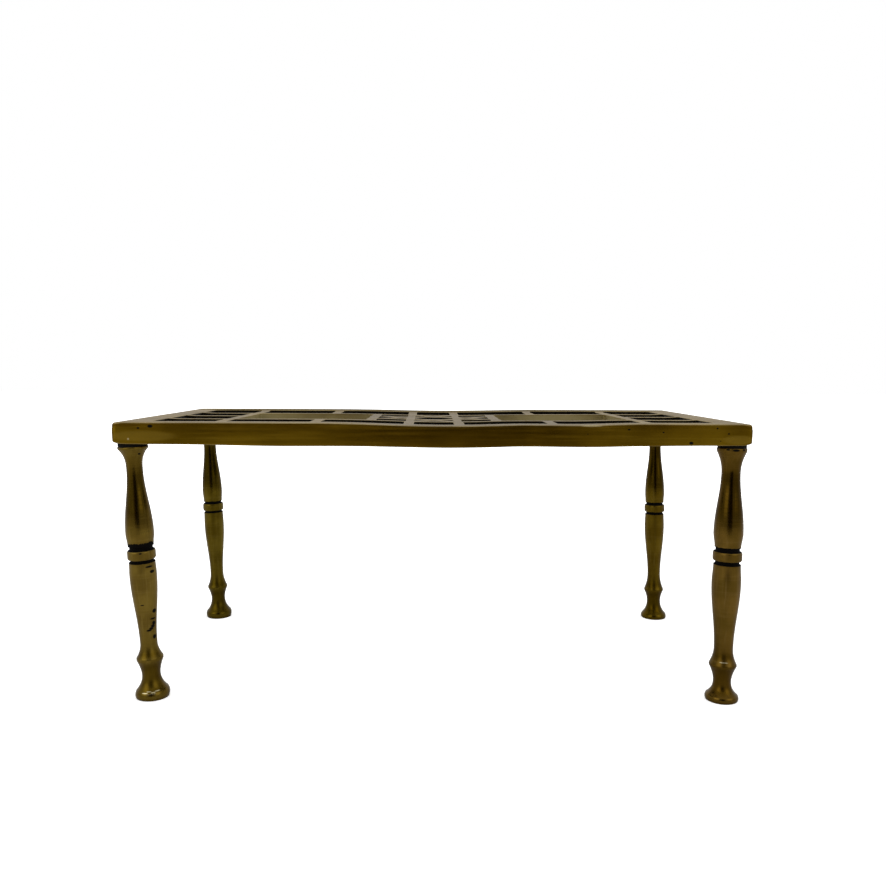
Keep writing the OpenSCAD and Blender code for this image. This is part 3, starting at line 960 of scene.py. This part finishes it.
filing = add(tree, "ShaderNodeTexNoise", {"Vector": filing, "Scale": 1.0, "Detail": 3.0, "Roughness": 0.6})
grain = add(tree, "ShaderNodeTexNoise", {"Vector": place, "Scale": 1 / GRAIN_SIZE})
patchy = add(tree, "ShaderNodeMapRange", [patches, 0.35, 0.65], interpolation_type="SMOOTHSTEP")
bright = add(tree, "ShaderNodeMapRange", [filing, 0.5, 0.8, 0.0, 0.3], interpolation_type="SMOOTHSTEP")
brown = add(tree, "ShaderNodeMapRange", [filing, 0.45, 0.25, 0.0, 0.35], interpolation_type="SMOOTHSTEP")
just_filed = add(tree, "ShaderNodeMath", [marks(tree, place, FILED), 0.45], operation="MULTIPLY")
tone = layered(tree, linear(CAST_DARK), [(patchy, CAST_MID), (bright, CAST_PALE), (brown, CAST_DARK),
                                         (just_filed, CAST_PALE)])

# Painted shade darkens a band just below the upper edge, in clouds, and tarnish stains lie over it. The
# middle of the length is the brownest, as a painted dark reflection of the room.
edge_shade = add(tree, "ShaderNodeAttribute", attribute_name="painted_edge_shade").outputs["Fac"]
clouds = add(tree, "ShaderNodeTexNoise", {"Vector": place, "Scale": 1 / CLOUD_SIZE})
clouds = add(tree, "ShaderNodeMapRange", [clouds, 0.35, 0.65, 0.15, 0.75], interpolation_type="SMOOTHSTEP")
stains_and_shade = add(tree, "ShaderNodeMath", [edge_shade, clouds], operation="MULTIPLY")
stains = add(tree, "ShaderNodeMath", [marks(tree, place, STAINS), 0.6], operation="MULTIPLY")
stains_and_shade = add(tree, "ShaderNodeMath", [stains_and_shade, stains], operation="MAXIMUM")
off_middle = add(tree, "ShaderNodeMath", [axes["X"], 0.01], operation="SUBTRACT")
off_middle = add(tree, "ShaderNodeMath", [off_middle], operation="ABSOLUTE")
middle = add(tree, "ShaderNodeMapRange", [off_middle, 0.1, 0.03, 0.0, 0.5], interpolation_type="SMOOTHSTEP")
stains_and_shade = add(tree, "ShaderNodeMath", [stains_and_shade, middle], operation="MAXIMUM")
tone = layered(tree, tone, [(stains_and_shade, TARNISH_AND_SHADE)], "MULTIPLY")

# Hands rub the edges bright, in patches, and glints are painted on as pale highlights.
edge = add(tree, "ShaderNodeAttribute", attribute_name="edge_wear").outputs["Fac"]
rubbed = add(tree, "ShaderNodeMapRange", [patches, 0.3, 0.6, 0.2, 0.8], interpolation_type="SMOOTHSTEP")
rubbed_and_glints = add(tree, "ShaderNodeMath", [edge, rubbed], operation="MULTIPLY")
rubbed_and_glints = add(tree, "ShaderNodeMath", [rubbed_and_glints, marks(tree, place, GLINTS)], operation="MAXIMUM")

# In the two wide openings painted light makes the walls pale below the edge, in patches, where light falls
# in.
wall_light_depth = add(tree, "ShaderNodeAttribute", attribute_name="painted_wall_light").outputs["Fac"]
light_patches = add(tree, "ShaderNodeMapRange", [patches, 0.25, 0.6, 0.35, 0.85], interpolation_type="SMOOTHSTEP")
wall_light = add(tree, "ShaderNodeMath", [wall_light_depth, light_patches], operation="MULTIPLY")

# Painted shade makes the walls of the small openings, the deep part of the wide ones and the bosses black,
# with an uneven edge. The pits, which stand in groups, are black too.
wall_shade = add(tree, "ShaderNodeAttribute", attribute_name="painted_wall_shade").outputs["Fac"]
uneven = add(tree, "ShaderNodeTexNoise", {"Vector": place, "Scale": 1 / (3.33 * MM)})
uneven = add(tree, "ShaderNodeMath", [uneven, 0.5], operation="SUBTRACT")
shaded_wall = add(tree, "ShaderNodeMath", [uneven, 0.5, wall_shade], operation="MULTIPLY_ADD")
shaded_wall = add(tree, "ShaderNodeMapRange", [shaded_wall, 0.9, 1.5], interpolation_type="SMOOTHSTEP")
pits = add(tree, "ShaderNodeTexVoronoi", {"Vector": place, "Scale": 1 / (6.67 * MM)}, feature="F1")
pits = add(tree, "ShaderNodeMapRange", [pits, 0.06, 0.03], interpolation_type="SMOOTHSTEP")
groups = add(tree, "ShaderNodeTexNoise", {"Vector": place, "Scale": 1 / (11.1 * MM), "Detail": 1.0})
groups = add(tree, "ShaderNodeMapRange", [groups, 0.5, 0.56], interpolation_type="SMOOTHSTEP")
pits = add(tree, "ShaderNodeMath", [pits, groups], operation="MULTIPLY")
pits = add(tree, "ShaderNodeMath", [pits, marks(tree, place, PITS)], operation="MAXIMUM")
shade_and_pits = add(tree, "ShaderNodeMath", [shaded_wall, pits], operation="MAXIMUM")
tone = layered(tree, tone, [(rubbed_and_glints, RUBBED_AND_GLINT), (wall_light, WALL_LIGHT_COLOUR), (shade_and_pits, GRIME_AND_SHADE)])

# Where the painted shade, the pits and the painted light on the walls cover it, the surface is dull and no
# longer a metal.
shade_and_pit_share = add(tree, "ShaderNodeMath", [shade_and_pits, 0.85], operation="MULTIPLY")
wall_light_share = add(tree, "ShaderNodeMath", [wall_light, 0.55], operation="MULTIPLY")
non_metal_share = add(tree, "ShaderNodeMath", [shade_and_pit_share, wall_light_share], operation="MAXIMUM")
bare = add(tree, "ShaderNodeMath", [1.0, non_metal_share], operation="SUBTRACT")
dull = add(tree, "ShaderNodeMath", [non_metal_share, 0.5, filing], operation="MULTIPLY_ADD")
dull = add(tree, "ShaderNodeMapRange", [dull, 0.2, 1.0, 0.26, 0.6], interpolation_type="SMOOTHSTEP")
# Brass seen almost edge on is pale but still yellowish; the strip at the back, out of reach, is greener.
at_back = add(tree, "ShaderNodeMapRange", [axes["Y"], 0.06, 0.068], interpolation_type="SMOOTHSTEP")
edge_on = layered(tree, linear("#fffaec"), [(at_back, "#a09a5c")])
relief = add(tree, "ShaderNodeMath", [filing, 0.4], operation="MULTIPLY")
relief = add(tree, "ShaderNodeMath", [grain, 0.3, relief], operation="MULTIPLY_ADD")
relief = add(tree, "ShaderNodeMath", [shade_and_pits, -2.0, relief], operation="MULTIPLY_ADD")
relief = add(tree, "ShaderNodeBump", {"Strength": 0.5, "Distance": 0.015 * MM, "Height": relief})
feed(tree, shader, {"Base Color": tone, "Metallic": bare, "Specular IOR Level": 0.08,
                    "Specular Tint": edge_on, "Roughness": dull, "Normal": relief})
print(cast_brass.name, "has", len(tree.nodes), "nodes")


# %% Turned brass
# Turned brass, worn and aged: darker where a dark reflection of the room is painted, fine rings left by the
# tool, drips of old polish down the length, black grease packed into the seams between the pieces, and
# painted pale highlights on the feet.
DARK_REFLECTION_TINT = "#b3ab78"
HIGHLIGHT_COLOUR = "#d8cda4"
RING_SIZE = (16.7 * MM, 16.7 * MM, 0.625 * MM)
DRIP_SIZE = (1.43 * MM, 1.43 * MM, 33.3 * MM)
BLOTCH_SIZE = 14.3 * MM
SPECK_SIZE = 1.11 * MM
GREASE_SIZE = 2.38 * MM


def turned_brass(leg, dark, mid, pale, spots, highlights):
    material, tree, shader = new_material("turned brass, aged, " + leg.replace("_", " ") + " leg", 1, 0.35)
    place = add(tree, "ShaderNodeAttribute", attribute_name="turned_place").outputs["Vector"]
    rings = add(tree, "ShaderNodeVectorMath", [place, RING_SIZE], operation="DIVIDE")
    rings = add(tree, "ShaderNodeTexNoise", {"Vector": rings, "Scale": 1.0})
    drips = add(tree, "ShaderNodeVectorMath", [place, DRIP_SIZE], operation="DIVIDE")
    drips = add(tree, "ShaderNodeTexNoise", {"Vector": drips, "Scale": 1.0, "Detail": 3.0, "Roughness": 0.6})
    patches = add(tree, "ShaderNodeTexNoise", {"Vector": place, "Scale": 1 / BLOTCH_SIZE, "Detail": 3.0})
    patchy = add(tree, "ShaderNodeMapRange", [patches, 0.35, 0.65], interpolation_type="SMOOTHSTEP")
    bright = add(tree, "ShaderNodeMapRange", [drips, 0.5, 0.75, 0.0, 0.35], interpolation_type="SMOOTHSTEP")
    brown = add(tree, "ShaderNodeMapRange", [drips, 0.45, 0.3, 0.0, 0.35], interpolation_type="SMOOTHSTEP")
    shiny = add(tree, "ShaderNodeMapRange", [rings, 0.5, 0.75, 0.0, 0.15], interpolation_type="SMOOTHSTEP")
    tone = layered(tree, linear(dark), [(patchy, mid), (bright, pale), (brown, dark), (shiny, pale)])
    # A painted dark reflection of the room darkens the upper spindle below the neck, the ankle and the foot.
    uneven = add(tree, "ShaderNodeMath", [patches, 0.5], operation="SUBTRACT")
    dark_reflection = add(tree, "ShaderNodeAttribute", attribute_name="dark_reflection").outputs["Fac"]
    dark_reflection = add(tree, "ShaderNodeMath", [uneven, 0.5, dark_reflection], operation="MULTIPLY_ADD")
    tone = layered(tree, tone, [(dark_reflection, DARK_REFLECTION_TINT)], "MULTIPLY")

    # Grease: ragged at the seams, with a brown halo, and as spots and specks on the metal.
    seam = add(tree, "ShaderNodeAttribute", attribute_name="seam_dirt").outputs["Fac"]
    ragged = add(tree, "ShaderNodeTexNoise", {"Vector": place, "Scale": 1 / GREASE_SIZE, "Detail": 3.0,
                                              "Roughness": 0.6})
    ragged = add(tree, "ShaderNodeMath", [ragged, 0.5], operation="SUBTRACT")
    ragged = add(tree, "ShaderNodeMath", [ragged, 0.9, seam], operation="MULTIPLY_ADD")
    black = add(tree, "ShaderNodeMapRange", [ragged, 0.6, 0.7], interpolation_type="SMOOTHSTEP")
    spotted = marks(tree, place, spots)
    black = add(tree, "ShaderNodeMath", [black, spotted], operation="MAXIMUM")
    specks = add(tree, "ShaderNodeTexNoise", {"Vector": place, "Scale": 1 / SPECK_SIZE})
    specks = add(tree, "ShaderNodeMapRange", [specks, 0.72, 0.78], interpolation_type="SMOOTHSTEP")
    in_patch = add(tree, "ShaderNodeMapRange", [patches, 0.5, 0.6], interpolation_type="SMOOTHSTEP")
    specks = add(tree, "ShaderNodeMath", [specks, in_patch], operation="MULTIPLY")
    black = add(tree, "ShaderNodeMath", [black, specks], operation="MAXIMUM")
    halo = add(tree, "ShaderNodeMath", [ragged, spotted], operation="ADD")
    halo = add(tree, "ShaderNodeMapRange", [halo, 0.15, 0.7, 0.0, 0.6], interpolation_type="SMOOTHSTEP")
    # Pale highlights are painted on the foot and a bead, where the light is reflected.
    painted_highlight = add(tree, "ShaderNodeMath", [marks(tree, place, highlights), 0.75], operation="MULTIPLY")
    tone = layered(tree, tone, [(halo, dark), (painted_highlight, HIGHLIGHT_COLOUR), (black, GRIME_AND_SHADE)])

    non_metal_share = add(tree, "ShaderNodeMath", [black, 0.9], operation="MULTIPLY")
    bare = add(tree, "ShaderNodeMath", [1.0, non_metal_share], operation="SUBTRACT")
    dull = add(tree, "ShaderNodeAttribute", attribute_name="dullness").outputs["Fac"]
    dull = add(tree, "ShaderNodeMath", [drips, 0.08, dull], operation="MULTIPLY_ADD")
    dull = add(tree, "ShaderNodeMath", [black, 0.4, dull], operation="MULTIPLY_ADD")
    relief = add(tree, "ShaderNodeMath", [black, 1.5, rings], operation="MULTIPLY_ADD")
    relief = add(tree, "ShaderNodeBump", {"Strength": 0.2, "Distance": 0.01 * MM, "Height": relief})
    feed(tree, shader, {"Base Color": tone, "Metallic": bare, "Specular IOR Level": 0.08,
                        "Roughness": dull, "Normal": relief})
    return material


# For each leg: its dark, middle and pale brass, its black spots and its painted pale highlights, in
# millimetres.
LEG_LOOKS = {
    "front_left": ("#6f5a23", "#8a7432", "#a08a4c", [
        ((2.1, -4.4, -92.0), (1.3, 2.0, 0.55)), ((3.0, -3.8, -91.2), (1.0, 2.0, 0.75)),
        ((3.7, -3.2, -90.1), (0.85, 2.0, 0.95)), ((4.1, -2.8, -88.7), (0.7, 2.0, 1.2)),
        ((4.9, -2.5, -82.6), (0.9, 2.0, 1.2)), ((4.2, -3.0, -86.3), (1.4, 2.0, 0.5)),
        ((4.0, -2.4, -95.7), (0.9, 2.0, 1.3)),
        ((0.3, -5.6, -78.7), (0.9, 2.0, 0.3)), ((4.6, -4.1, -60.0), (1.9, 2.0, 0.5)),
        ((5.5, -3.1, -62.6), (0.8, 2.0, 0.8)), ((4.0, -3.3, -4.9), (0.5, 1.5, 0.5)),
        ((1.7, -6.4, -53.0), (0.7, 1.5, 0.4))],
        [((-1.4, -7.6, -122.4), (1.6, 1.5, 0.22)), ((0.6, -7.6, -121.8), (1.3, 1.5, 0.2)),
         ((2.6, -7.0, -122.3), (1.2, 1.5, 0.25)), ((4.6, -6.0, -121.9), (1.4, 1.5, 0.22)),
         ((1.8, -7.2, -122.9), (2.2, 1.5, 0.14))]),
    "front_right": ("#654f1b", "#7d622a", "#907646", [
        ((-0.5, -7.0, -2.2), (1.8, 1.5, 0.6)), ((3.5, -6.0, -2.0), (0.8, 1.5, 0.5)),
        ((-4.0, -5.8, -2.0), (0.9, 1.5, 0.4))],
        [((-5.3, -5.2, -121.0), (0.35, 1.5, 1.3)), ((-3.0, -6.9, -121.2), (0.4, 1.5, 1.5)),
         ((0.9, -7.3, -120.8), (0.5, 1.5, 1.3)), ((-2.2, -6.0, -106.5), (2.6, 1.5, 0.3))]),
    "back_left": ("#5c4c10", "#75641e", "#8a7a3e", [], []),
    "back_right": ("#5c480c", "#735e18", "#87743a", [], []),
}
leg_brass = {leg: turned_brass(leg, *LEG_LOOKS[leg]) for leg in LEG_NAMES}
print(len(leg_brass), "turned brasses")

# %% Black packing and stud steel
# Pressed black fibre, oily and torn at the edge: almost no colour, with a dull soft shine.
FIBRE_SIZE = 0.833 * MM
black_fibre, tree, shader = new_material("pressed black fibre, oily", 0, 0.6)
place = add(tree, "ShaderNodeTexCoord").outputs["Object"]
fibres = add(tree, "ShaderNodeTexNoise", {"Vector": place, "Scale": 1 / FIBRE_SIZE, "Detail": 4.0,
                                          "Roughness": 0.7})
dull = add(tree, "ShaderNodeMapRange", [fibres, 0.3, 0.7, 0.45, 0.8], interpolation_type="SMOOTHSTEP")
relief = add(tree, "ShaderNodeBump", {"Strength": 0.8, "Distance": 0.05 * MM, "Height": fibres})
feed(tree, shader, {"Base Color": layered(tree, linear("#030202"), [(fibres, "#110e0a")]),
                    "Specular IOR Level": 0.08, "Roughness": dull, "Normal": relief})

# Steel with a cut thread, oiled: grey flanks with brown oil lying in the grooves.
OIL_SIZE = 2 * MM
GRIT_SIZE = 0.4 * MM
stud_steel, tree, shader = new_material("thread-cut steel, oiled", 1, 0.35)
place = add(tree, "ShaderNodeTexCoord").outputs["Object"]
oil = add(tree, "ShaderNodeTexNoise", {"Vector": place, "Scale": 1 / OIL_SIZE, "Detail": 3.0})
oily = add(tree, "ShaderNodeMapRange", [oil, 0.4, 0.7], interpolation_type="SMOOTHSTEP")
dull = add(tree, "ShaderNodeMapRange", [oil, 0.3, 0.7, 0.25, 0.5], interpolation_type="SMOOTHSTEP")
grit = add(tree, "ShaderNodeTexNoise", {"Vector": place, "Scale": 1 / GRIT_SIZE})
relief = add(tree, "ShaderNodeBump", {"Strength": 0.5, "Distance": 0.01 * MM, "Height": grit})
feed(tree, shader, {"Base Color": layered(tree, linear("#8c8880"), [(oily, "#4a3c2a")]),
                    "Roughness": dull, "Normal": relief})
print("packing and steel ready")

# %% [markdown]
# ## Finish the casting
# The settling tree runs once on the casting, and the result is kept as a plain mesh. It stands for the top
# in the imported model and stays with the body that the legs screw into.

# %% Casting
run_group(pierced_top, settle, {"Material": cast_brass})
pierced_top.data.polygons.foreach_set("use_smooth", [True] * len(pierced_top.data.polygons))
pierced_top.data.set_sharp_from_angle(angle=math.radians(50))
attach(pierced_top, "top")
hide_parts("pierced_top")
print(pierced_top.name, "has", len(pierced_top.data.polygons), "faces")

# %% [markdown]
# ## Turn the legs
# Each leg is four visible pieces on one axis: two spindles, the collar between them, and the stud that goes
# up into the boss. They are separate on the real object, because a short bar is easier to turn and because
# the two inner studs pull the joints tight. Each piece gets its own seed, so no two are worn alike.

# %% Spindles and collars
turned = []
for number, leg in enumerate(LEG_NAMES):
    outlines = leg_outlines(leg)
    for part, stations in zip(("upper_spindle", "collar", "lower_spindle"), outlines):
        points = outline_points(stations, RING_STEP)
        piece = axis_polyline(f"{leg}_{part}_turned", points, -WASHER, LEG_UNIT, outlines[3])
        run_group(piece, lathe, {"Seed": 7.0 * number + len(turned), "Material": leg_brass[leg]})
        place_turned(piece, leg)
        if part == "lower_spindle":
            cut_at_floor(piece)
        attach(piece, leg + "_leg")
        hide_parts(f"{leg}_{part}")
        turned.append(piece)
print(len(turned), "turned pieces,", sum(len(piece.data.polygons) for piece in turned), "faces")

# %% [markdown]
# ## Studs
# The studs carry a real helix, cut by the same lathe. A thread is cut in one pass, so every turn is alike,
# and the two ends are turned down a little. The stud in a boss shows when a leg is unscrewed. The stud
# inside a leg never shows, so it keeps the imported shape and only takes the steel.

# %% Studs
STUD_TOP = 7.2 * MM
STUD_BOTTOM = -10.2 * MM
stud_length = (STUD_TOP - STUD_BOTTOM) / MM
stud_outline = [(0, 4.0, 1), (0.5, 4.9, 1), (stud_length - 0.5, 4.9, 1), (stud_length, 4.0, 1)]
for leg in LEG_NAMES:
    stud = axis_polyline(leg + "_top_stud_thread", outline_points(stud_outline, 0.12 * MM), STUD_TOP, MM)
    run_group(stud, lathe, {"Sides": 36, "Mark Depth": 0.0, "Out Of Round": 0.0, "Thread Depth": 0.45 * MM,
                            "Material": stud_steel})
    place_turned(stud, leg)
    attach(stud, leg + "_leg")
    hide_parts(leg + "_top_stud")
    hidden = frame["nodes"][leg + "_joint_stud"]
    hidden.data.materials.clear()
    hidden.data.materials.append(stud_steel)
print("stud has", len(stud.data.polygons), "faces")

# %% [markdown]
# ## Packing
# A washer of black fibre packs each joint under the top. It was cut by hand and squeezed, so its edge is
# ragged. The tree sweeps the washer's section round a circle and then nibbles the outer edge.

# %% The packing tree
TEAR_SIZE = 1.43 * MM
packing, given, end = new_group("ragged packing", [
    ("Middle Radius", "Float", 4.85 * MM), ("Ragged", "Float", 0.3 * MM), ("Seed", "Float", 0.0),
    ("Material", "Material", None)])
section = add(packing, "GeometryNodeMeshToCurve", [given["Geometry"]])
path = add(packing, "GeometryNodeCurvePrimitiveCircle", {"Resolution": 96, "Radius": given["Middle Radius"]})
ring = add(packing, "GeometryNodeCurveToMesh", {"Curve": path, "Profile Curve": section})
place = add(packing, "GeometryNodeInputPosition")
flat_place = add(packing, "ShaderNodeVectorMath", [place, (1, 1, 0)], operation="MULTIPLY")
radius = add(packing, "ShaderNodeVectorMath", [flat_place], operation="LENGTH")
edge_share = add(packing, "ShaderNodeMapRange", [radius, given["Middle Radius"], 7 * MM])
tear_place = add(packing, "ShaderNodeVectorMath", {0: place, "Scale": 1 / TEAR_SIZE}, operation="SCALE")
seeded = add(packing, "ShaderNodeCombineXYZ", [given["Seed"]])
tear_place = add(packing, "ShaderNodeVectorMath", [tear_place, seeded], operation="ADD")
tears = add(packing, "ShaderNodeTexNoise", {"Vector": tear_place, "Scale": 1.0})
bite = add(packing, "ShaderNodeMath", [tears, given["Ragged"]], operation="MULTIPLY")
bite = add(packing, "ShaderNodeMath", [bite, edge_share], operation="MULTIPLY")
bite = add(packing, "ShaderNodeMath", [bite, -1], operation="MULTIPLY")
outwards = add(packing, "ShaderNodeVectorMath", [flat_place], operation="NORMALIZE")
offset = add(packing, "ShaderNodeVectorMath", {0: outwards, "Scale": bite}, operation="SCALE")
torn = add(packing, "GeometryNodeSetPosition", {"Geometry": ring, "Offset": offset})
finish_group(packing, torn, given["Material"], end)
print("packing tree has", len(packing.nodes), "nodes")

# %% Washers
WASHER_HALF_WIDTH = 2.15 * MM
section_points = []
for degrees in range(0, 360, 15):
    angle = math.radians(degrees)
    across, up = math.cos(angle), math.sin(angle)
    squareness = max(abs(across), abs(up))
    section_points.append((WASHER_HALF_WIDTH * across / squareness * 0.99, WASHER / 2 * up / squareness, 0))
section_edges = [(i, (i + 1) % len(section_points)) for i in range(len(section_points))]
for number, leg in enumerate(LEG_NAMES):
    section_mesh = bpy.data.meshes.new(leg + "_washer_section")
    section_mesh.from_pydata(section_points, section_edges, [])
    washer = show(leg + "_packing_washer", section_mesh)
    run_group(washer, packing, {"Seed": 5.0 * number, "Material": black_fibre})
    washer.data.transform(Matrix.Translation((0, 0, -WASHER / 2)))
    place_turned(washer, leg, 50)
    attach(washer, leg + "_packing")
    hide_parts(leg + "_washer")
    print(washer.name, "is", [round(d / MM, 1) for d in washer.dimensions], "mm")
